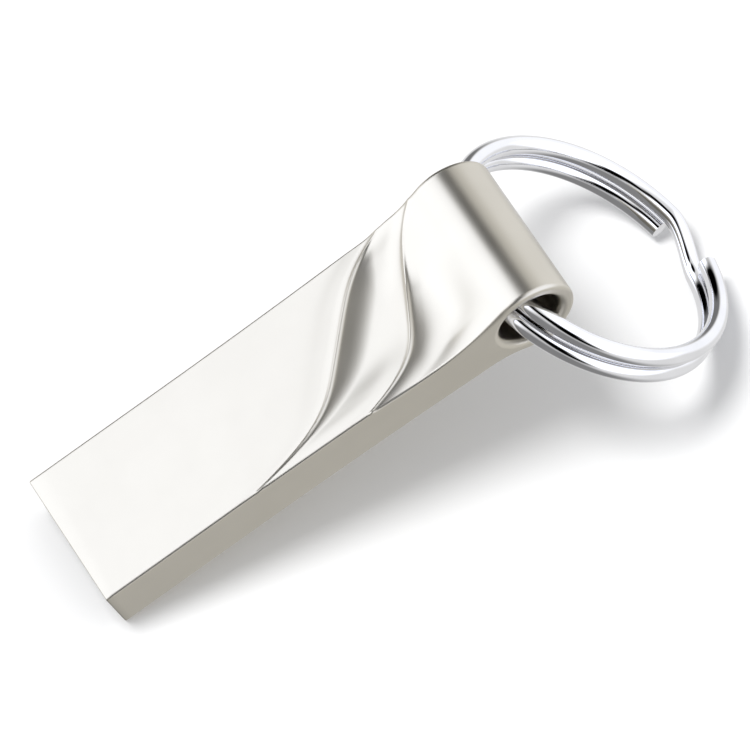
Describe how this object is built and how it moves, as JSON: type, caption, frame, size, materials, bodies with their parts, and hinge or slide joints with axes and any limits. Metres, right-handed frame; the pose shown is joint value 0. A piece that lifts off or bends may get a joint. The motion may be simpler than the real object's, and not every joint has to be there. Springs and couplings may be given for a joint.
{
  "type": "usb flash drive",
  "caption": "Short slab-shaped metal USB flash drive with an open plug at one end, a relief of two curved ridges and a cross tube that holds a swinging split ring.",
  "frame": {"origin": "middle of the plug's mouth, on the plug's centre line", "axes": "+X from the plug's mouth to the loop, +Z out of the face with the relief, +Y across"},
  "size_m": [0.051, 0.0233, 0.0216],
  "materials": {
    "nickel_plated_zinc": "satin pearl nickel plate on a zinc die casting",
    "chromed_steel": "bright chrome plate on spring steel wire",
    "polyimide_film": "clear amber film",
    "acrylic_adhesive": "milky transfer adhesive",
    "black_tray_plastic": "moulded ABS",
    "epoxy_glue": "cured epoxy",
    "moulding_compound": "moulded epoxy compound",
    "board_laminate": "green solder resist over glass laminate",
    "gold_plate": "hard gold over nickel",
    "silicon": "polished silicon",
    "die_film": "die attach film",
    "ceramic": "fired ceramic",
    "kovar_lid": "nickel-plated lid",
    "capacitor_ceramic": "sintered ceramic",
    "resistor_glaze": "black glaze",
    "solder": "bright solder"
  },
  "bodies": {
    "drive": {"housing": "nickel_plated_zinc", "insulating_film": "polyimide_film", "tray_adhesive": "acrylic_adhesive", "carrier_tray": "black_tray_plastic", "rear_glue": "epoxy_glue", "mould_cap": "moulding_compound", "laminate": "board_laminate", "test_pads": "gold_plate", "contact_vbus": "gold_plate", "contact_data_minus": "gold_plate", "contact_data_plus": "gold_plate", "contact_ground": "gold_plate", "controller_die": "silicon", "lower_memory_die": "silicon", "upper_memory_die": "silicon", "die_films": "die_film", "controller_wires": "gold_plate", "memory_wires": "gold_plate", "crystal_base": "ceramic", "crystal_lid": "kovar_lid", "decoupling_capacitors": "capacitor_ceramic", "resistors": "resistor_glaze", "surge_diode": "moulding_compound", "solder_joints": "solder"},
    "key_ring": {"split_ring": "chromed_steel"}
  },
  "joints": [
    {"name": "ring_swing", "type": "hinge", "parent": "drive", "child": "key_ring", "pos_m": [0.0374, 0, 0.00035], "axis": [0, -1, 0], "range_deg": [-110, 220]}
  ]
}
